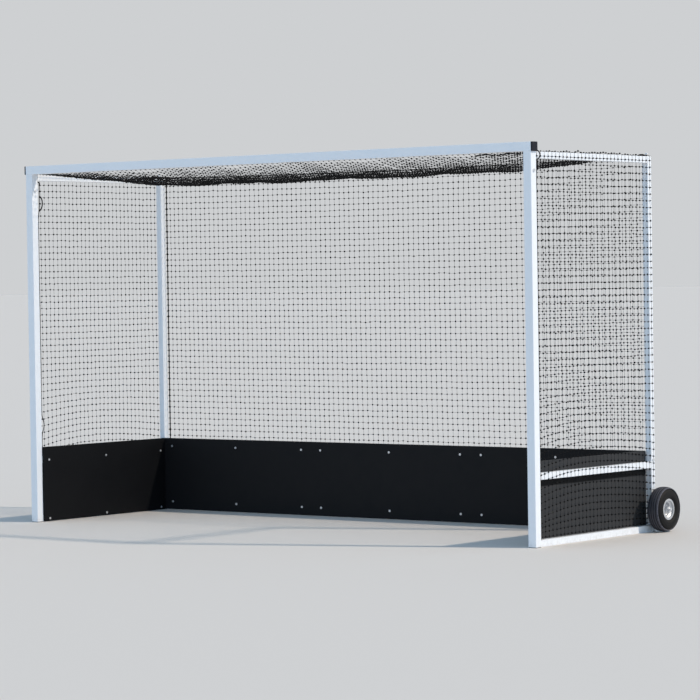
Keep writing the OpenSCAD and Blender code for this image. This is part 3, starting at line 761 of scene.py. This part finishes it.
def side_net(side, sign):
    """Knots a side net over the rails' outer faces, from its front border rope to the back.

    Its rows droop towards the lower corners.
    """
    s = sizes()
    out_x, out_y, top_z = outside()
    start = FRONT_Y + (s.rope_y_left if side == "left" else s.rope_y_right)
    rows = evenly(top_z - s.seam - 6 * MM, NET_LOW_Z + 16 * MM, s.side_mesh_z)
    columns = evenly(start, out_y - s.seam, s.side_mesh_y)
    y, z = np.meshgrid(np.concatenate([[start - s.rope_tuck], columns, [out_y]]),
                       np.append(top_z, rows))
    across = (y - start) / (out_y - start) - CREST
    across /= np.where(across < 0, CREST, BEHIND_CREST)
    fall = np.clip((DROOP_Z - z) / DROOP_SPAN, 0, 1)
    fall = fall ** 2 * (3 - 2 * fall) * np.clip((z - rows[-1]) / DROOP_FOOT, 0, 1)
    before_back = y < out_y
    edge = (np.clip((z - SHIFT_FADE) / SHIFT_FADE, 0, 1)
            * np.clip((top_z - z) / SHIFT_FADE, 0, 1) * before_back)
    net = np.stack([
        sign * (out_x + np.abs(jitter(y.shape, 0.8 * MM, seed=8)) * before_back),
        y + jitter(y.shape, 1.3 * MM, seed=9) * edge,
        z - s.side_droop * fall * across ** 2 + jitter(y.shape, 1.0 * MM, seed=10) * edge,
    ], axis=-1)
    net[:, 0, 0] = sign * upright_x()
    net[:, 0, 1] = [front_rope_y(side, h) for h in net[:, 0, 2]]
    knotted_net(f"net_{side}_knotted", net, f"net_{side}", seam_row=0, twine_on_seam=False,
                seed=13 + sign, extra=[(net[2:, 0], 3 * ROPE_R)])


class GOAL_OT_nets(Step):
    """Knots the four nets over the frame, the top one sagging between its rails"""

    bl_idname = "goal.nets"
    bl_label = "Nets"

    def execute(self, context):
        back_net(*top_net())
        for side, sign in SIDES.items():
            side_net(side, sign)
        return {"FINISHED"}


# How much thicker than their rope the lashed rear ropes and the corner ties are drawn
LASHED = 1.45
TIED = 1.3
# Distance between the points along a rope and along a corner tie
ROPE_STEP = 3.5 * MM
TIE_STEP = 2.5 * MM
# Top of the front border ropes, under the top rails, and how far the rear ones stand inside them
ROPE_TOP_Z = TOP_Z - RAIL_W - 4 * MM
REAR_ROPE_INSET = 11 * MM
# Height where the left rope comes out from behind its post, the length that it takes, and the
# share of its tuck that is left above
LEFT_FREE_Z, LEFT_FREE_SPAN, LEFT_FREE_TUCK = 1.86, 0.07, 0.25
# The front ropes' swing, and the height and half length of the left one's bulge
SWING = 1.2 * MM
BULGE_Z, BULGE_SPAN = 0.592, 0.04
# The slack loop beside the left rope: how far out, as a share of the loop's size, and how high
LOOP = ((0, 2.002), (0.6, 1.995), (1, 1.974), (1, 1.946), (0.6, 1.922), (0, 1.91))


def front_rope_line():
    """Y and Z of the rope's centre along the crossbar."""
    lo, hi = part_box("front_top_rope")
    return (lo.y + hi.y) / 2, (lo.z + hi.z) / 2


def rear_rope_line():
    """Y and Z of the centre of the rope between the rear posts, at its hooks."""
    lo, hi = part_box("rear_top_rope")
    return (lo.y + hi.y) / 2, (lo.z + hi.z) / 2


def front_rope_y(side, height):
    """Y of a front border rope's centre, tucked behind its post but for the left one's top."""
    s = sizes()
    if side == "right":
        return FRONT_Y + s.rope_y_right - s.rope_tuck
    free = min(max((height - LEFT_FREE_Z) / LEFT_FREE_SPAN, 0), 1)
    return FRONT_Y + s.rope_y_left - s.rope_tuck * (1 - (1 - LEFT_FREE_TUCK) * free)


def rear_rope_x():
    """X of the centre of the right hand rear border rope."""
    return RAIL_IN_X - REAR_ROPE_INSET


def rear_rope_y():
    """Y of the centre of the rear border ropes."""
    return high("side_ropes_right").y - ROPE_R


def upright_x():
    """X of the centre of the right hand front border rope."""
    return high("side_ropes_right").x - ROPE_R


def tie_route(side):
    """A corner tie's route from the crossbar's rope to the upright one, given for +X."""
    x_end = RAIL_OUT_X - 6 * MM
    y_top, z_top = front_rope_line()
    x_side = upright_x()
    y_up = front_rope_y(side, ROPE_TOP_Z)
    return [
        (x_end, y_top, z_top),
        (x_end + 8 * MM, y_top, z_top),
        (x_side + 4 * MM, y_top + 8 * MM, z_top - 4 * MM),
        (x_side + 8 * MM, y_top + 19 * MM, z_top - 13 * MM),
        (x_side + 9 * MM, y_top + 27 * MM, z_top - 27 * MM),
        (x_side + 7 * MM, y_top + 24 * MM, z_top - 41 * MM),
        (x_side + 2 * MM, y_up + 4 * MM, ROPE_TOP_Z - 8 * MM),
        (x_side, y_up, ROPE_TOP_Z - 20 * MM),
    ]


class GOAL_OT_ropes(Step):
    """Lays the border ropes and the tied cords of the front corners"""

    bl_idname = "goal.ropes"
    bl_label = "Ropes"

    def execute(self, context):
        lay = sizes().rope_lay
        self.front_top_rope(lay)
        self.rear_top_rope(lay)
        for side, sign in SIDES.items():
            self.side_ropes(side, sign, lay)
            route = [(sign * x, y, z) for x, y, z in tie_route(side)]
            rope_piece(f"corner_tie_{side}_laid", [(smooth_path(route, TIE_STEP), ROPE_R * TIED)],
                       lay, f"corner_tie_{side}")
        return {"FINISHED"}

    def front_top_rope(self, lay):
        """The rope along the crossbar."""
        y, z = front_rope_line()
        end = high("front_top_rope").x
        along = smooth_path([(-end, y, z), (0, y, z), (end, y, z)], ROPE_STEP)
        rope_piece("front_top_rope_laid", [(along, ROPE_R)], lay, "front_top_rope")

    def rear_top_rope(self, lay):
        """The sagging rope between the rear posts, with an eye round the hook at each end."""
        lo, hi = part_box("rear_top_rope")
        y, z = rear_rope_line()
        eye = (hi.y - lo.y) / 2 - ROPE_R
        hook_x = hi.x - eye - ROPE_R
        span = np.linspace(-hook_x + eye, hook_x - eye, 81)
        sag = sizes().rope_sag * between_posts(span, 2)
        hang = between_posts(span, 20) * (z - TOP_Z + ROPE_R + sag)
        runs = [(smooth_path([(x, y, z - h) for x, h in zip(span, hang)], ROPE_STEP), ROPE_R)]
        for sign in SIDES.values():
            runs.append(([Vector((sign * hook_x + eye * math.cos(a), y + eye * math.sin(a), z))
                          for a in np.linspace(0, 2 * math.pi, 25)], ROPE_R))
        rope_piece("rear_top_rope_laid", runs, lay, "rear_top_rope")

    def side_ropes(self, side, sign, lay):
        """A side's front and rear border rope, and the slack loop beside the left front one."""
        loop = sizes().loop
        lo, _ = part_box(f"side_ropes_{side}")
        x = upright_x()
        heights = np.linspace(lo.z, ROPE_TOP_Z, 70)
        swing = [SWING * math.sin(5.3 * h) * math.sin(11.0 * h)
                 + 0.8 * loop * (side == "left") * math.exp(-(((h - BULGE_Z) / BULGE_SPAN) ** 2))
                 for h in heights]
        front = smooth_path([(sign * x, front_rope_y(side, h) + w, h)
                             for w, h in zip(swing, heights)], ROPE_STEP)
        rear = smooth_path([(sign * rear_rope_x(), rear_rope_y(), h)
                            for h in np.linspace(lo.z, TOP_Z, 9)], ROPE_STEP)
        runs = [(front, ROPE_R), (rear, ROPE_R * LASHED)]
        if side == "left":
            slack = smooth_path([(-x, front_rope_y(side, h) + loop * out, h) for out, h in LOOP],
                                ROPE_STEP)
            runs.append((slack, ROPE_R * LASHED))
        rope_piece(f"side_ropes_{side}_laid", runs, lay, f"side_ropes_{side}")


# The tyre's cross-section: half the tread's width, its grooves' width and depth and their places
# as shares of that half, the shoulder's radii down and across, and the ridges on the side walls
# by the angle that they stand at
TREAD_HALF = 35 * MM
GROOVE_W, GROOVE_DEPTH = 4.6 * MM, 4 * MM
GROOVES = (0.62, 0.2)
SHOULDER_DOWN, SHOULDER_ACROSS = 4 * MM, 3.4 * MM
RIDGES = {104: 1.2 * MM, 100: 1.2 * MM, 64: 1.4 * MM, 60: 1.4 * MM}
# Its beads: radius and half width where they sit on the rim, and where they leave its flanges
SEAT_R, SEAT_HALF = 51.2 * MM, 29 * MM
FLANGE_R, FLANGE_HALF = 60.9 * MM, 30.6 * MM


def wheel_middle(side):
    """A tyre's centre, its radius and half its width."""
    lo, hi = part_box(f"tyre_{side}")
    return (lo + hi) / 2, (hi.z - lo.z) / 2, (hi.x - lo.x) / 2


def tyre_profile(radius, half):
    """The tyre's skin over its walls and tread, as (radius, place across), the +X half first."""
    wall_mid = radius - half
    right = []
    for degrees in range(124, 44, -4):
        a = math.radians(degrees)
        r, x = wall_mid + half * math.cos(a), half * math.sin(a)
        ridge = RIDGES.get(degrees, 0.0)
        right.append((r + ridge * math.cos(a), x - 0.6 * MM + ridge * math.sin(a)))
    crown_r = radius - TREAD_BOW
    edge_r = crown_r + math.sqrt(TREAD_BOW ** 2 - TREAD_HALF ** 2)
    for degrees in range(0, 91, 15):
        a = math.radians(degrees)
        right.append((edge_r - SHOULDER_DOWN + SHOULDER_DOWN * math.sin(a),
                      TREAD_HALF - SHOULDER_ACROSS + SHOULDER_ACROSS * math.cos(a)))
    for share in GROOVES:
        middle = share * TREAD_HALF
        outer, inner = middle + GROOVE_W / 2, middle - GROOVE_W / 2
        for x, deep in ((outer + 0.6 * MM, 0), (outer, 0.5 * MM), (outer - 0.4 * MM, GROOVE_DEPTH),
                        (inner + 0.4 * MM, GROOVE_DEPTH), (inner, 0.5 * MM),
                        (inner - 0.6 * MM, 0)):
            right.append((crown_r + math.sqrt(TREAD_BOW ** 2 - x ** 2) - deep, x))
    return right + [(r, -x) for r, x in reversed(right)]


def turned(profile, centre, segments=144):
    """A closed profile turned about an axle along X through centre: (points, quads)."""
    turns = np.arange(segments) * 2 * math.pi / segments
    r, x = np.array(profile).T
    across = np.broadcast_to(x, (segments, len(x)))
    points = np.stack([across, np.cos(turns)[:, None] * r, np.sin(turns)[:, None] * r], axis=-1)
    points = points + np.array(centre)
    n = len(profile)
    k = np.arange(n)
    i = np.arange(segments)[:, None]
    a, b = i * n + k, i * n + (k + 1) % n
    c, d = (i + 1) % segments * n + (k + 1) % n, (i + 1) % segments * n + k
    return points.reshape(-1, 3), np.stack([a, b, c, d], axis=-1).reshape(-1, 4)


class GOAL_OT_tyres(Step):
    """Moulds the two ribbed tyres"""

    bl_idname = "goal.tyres"
    bl_label = "Tyres"

    def execute(self, context):
        for side in SIDES:
            centre, radius, half = wheel_middle(side)
            beads = [(FLANGE_R, -FLANGE_HALF), (SEAT_R, -SEAT_HALF), (SEAT_R, SEAT_HALF),
                     (FLANGE_R, FLANGE_HALF)]
            points, faces = turned(tyre_profile(radius, half) + beads, centre)
            made = piece(f"tyre_{side}_ribbed", points, faces, "tyre_rubber", f"wheel_{side}")
            made.data.set_sharp_from_angle(angle=math.radians(35))
            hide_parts(f"tyre_{side}")
        return {"FINISHED"}


# Half the floor's width
FLOOR_REACH = 400.0
# The sky's light: its colour, its strength straight up and what it gains at the horizon
FILL = "#B7D9F9"
FILL_UP, FILL_GAIN = 0.446, 1.15
# The key lamp: strength, linear colour, its disc in degrees and the direction that it stands in
KEY_STRENGTH = 2.35
KEY_COLOUR = (1.0, 0.88, 0.74)
KEY_DISC = 3
KEY_FROM = (0.68, 0.27, 0.68)
# The camera: focal length and image width in pixels, turns in radians and place, with Y measured
# from the posts' front
FOCAL_PX, IMAGE_PX = 2989.751, 700
YAW, PITCH, ROLL = 0.66533722, -0.02257263, -0.0151074
CAMERA_PLACE = (11.0084413, -13.22836872, 1.44298128)


class GOAL_OT_stage(Step):
    """Sets the pale floor, the soft lights and the camera"""

    bl_idname = "goal.stage"
    bl_label = "Stage, lights and camera"

    def execute(self, context):
        scene = context.scene
        scene.view_settings.view_transform = "Standard"
        self.lay_floor(scene)
        self.light(scene)
        self.aim_camera(scene)
        return {"FINISHED"}

    def lay_floor(self, scene):
        """A plain pale floor that reaches the horizon."""
        material = bpy.data.materials.new("Pale matt floor")
        material.use_nodes = True
        shader = material.node_tree.nodes["Principled BSDF"]
        shader.inputs["Base Color"].default_value = (*colours().floor, 1.0)
        shader.inputs["Roughness"].default_value = 0.9
        mesh = bpy.data.meshes.new("floor")
        mesh.from_pydata([(x * FLOOR_REACH, y * FLOOR_REACH, 0.0)
                          for x, y in ((-1, -1), (1, -1), (1, 1), (-1, 1))], [], [(0, 1, 2, 3)])
        mesh.materials.append(material)
        floor = bpy.data.objects.new("floor", mesh)
        scene.collection.objects.link(floor)

    def light(self, scene):
        """A bluish sky that the camera and mirrors see as the plain backdrop, and a key lamp."""
        world = bpy.data.worlds.new("Pale studio")
        scene.world = world
        world.use_nodes = True
        tree = world.node_tree
        tree.nodes.clear()
        path = add(tree, "ShaderNodeLightPath").outputs
        seen = path["Is Camera Ray"]
        for kind in ("Is Glossy Ray", "Is Transmission Ray"):
            seen = add(tree, MATH, {"operation": "MAXIMUM"}, i0=seen, i1=path[kind]).outputs[0]
        aim = add(tree, "ShaderNodeTexCoord").outputs["Generated"]
        steep = add(tree, SPLIT, Vector=aim).outputs["Z"]
        flat = add(tree, RANGE, Value=steep, To_Min=1.0, To_Max=0.0).outputs[0]
        square = add(tree, MATH, {"operation": "MULTIPLY"}, i0=flat, i1=flat).outputs[0]
        level = add(tree, MATH, {"operation": "MULTIPLY_ADD"}, i0=square, i1=FILL_GAIN,
                    i2=FILL_UP).outputs[0]
        fill = add(tree, "ShaderNodeBackground", Color=linear(FILL), Strength=level)
        back = add(tree, "ShaderNodeBackground", Color=tuple(colours().backdrop), Strength=1.0)
        mixed = add(tree, "ShaderNodeMixShader", i0=seen, i1=fill.outputs["Background"],
                    i2=back.outputs["Background"])
        add(tree, "ShaderNodeOutputWorld", Surface=mixed.outputs["Shader"])

        key = bpy.data.lights.new("key", "SUN")
        key.energy = KEY_STRENGTH
        key.color = KEY_COLOUR
        key.angle = math.radians(KEY_DISC)
        lamp = bpy.data.objects.new("key", key)
        lamp.rotation_mode = "QUATERNION"
        lamp.rotation_quaternion = Vector(KEY_FROM).to_track_quat("Z", "Y")
        scene.collection.objects.link(lamp)

    def aim_camera(self, scene):
        """The camera at the front right, with its roll about its own axis."""
        camera = bpy.data.cameras.new("camera")
        camera.sensor_width = 36.0
        camera.lens = FOCAL_PX / IMAGE_PX * camera.sensor_width
        camera.clip_end = 1000.0
        seat = bpy.data.objects.new("camera", camera)
        scene.collection.objects.link(seat)
        ahead = Vector((-math.sin(YAW) * math.cos(PITCH), math.cos(YAW) * math.cos(PITCH),
                        math.sin(PITCH)))
        right = Vector((math.cos(YAW), math.sin(YAW), 0.0))
        up = right.cross(ahead)
        rolled_right = right * math.cos(ROLL) + up * math.sin(ROLL)
        rolled_up = up * math.cos(ROLL) - right * math.sin(ROLL)
        axes = Matrix((rolled_right, rolled_up, -ahead)).transposed().to_4x4()
        x, y, z = CAMERA_PLACE
        seat.matrix_world = Matrix.Translation((x, y + FRONT_Y, z)) @ axes
        scene.camera = seat


class GOAL_PT_panel(bpy.types.Panel):
    """Lists the goal's dressing steps"""

    bl_idname = "GOAL_PT_panel"
    bl_label = "Field hockey goal"
    bl_space_type = "VIEW_3D"
    bl_region_type = "UI"
    bl_category = "Goal"

    def draw(self, context):
        for group in (context.scene.goal_sizes, context.scene.goal_colours):
            for name in group.bl_rna.properties.keys():
                if name not in {"rna_type", "name"}:
                    self.layout.prop(group, name)
        for step in STEPS:
            self.layout.operator(step.bl_idname)


STEPS = (GOAL_OT_coat, GOAL_OT_welds, GOAL_OT_nets, GOAL_OT_ropes, GOAL_OT_tyres, GOAL_OT_stage)
CLASSES = (GoalSizes, GoalColours, *STEPS, GOAL_PT_panel)


def register():
    for cls in CLASSES:
        bpy.utils.register_class(cls)
    bpy.types.Scene.goal_sizes = bpy.props.PointerProperty(type=GoalSizes)
    bpy.types.Scene.goal_colours = bpy.props.PointerProperty(type=GoalColours)


def unregister():
    del bpy.types.Scene.goal_sizes
    del bpy.types.Scene.goal_colours
    for cls in reversed(CLASSES):
        bpy.utils.unregister_class(cls)


def main():
    register()
    bpy.ops.goal.coat()
    bpy.ops.goal.welds()
    bpy.ops.goal.nets()
    bpy.ops.goal.ropes()
    bpy.ops.goal.tyres()
    bpy.ops.goal.stage()


if __name__ == "__main__":
    main()
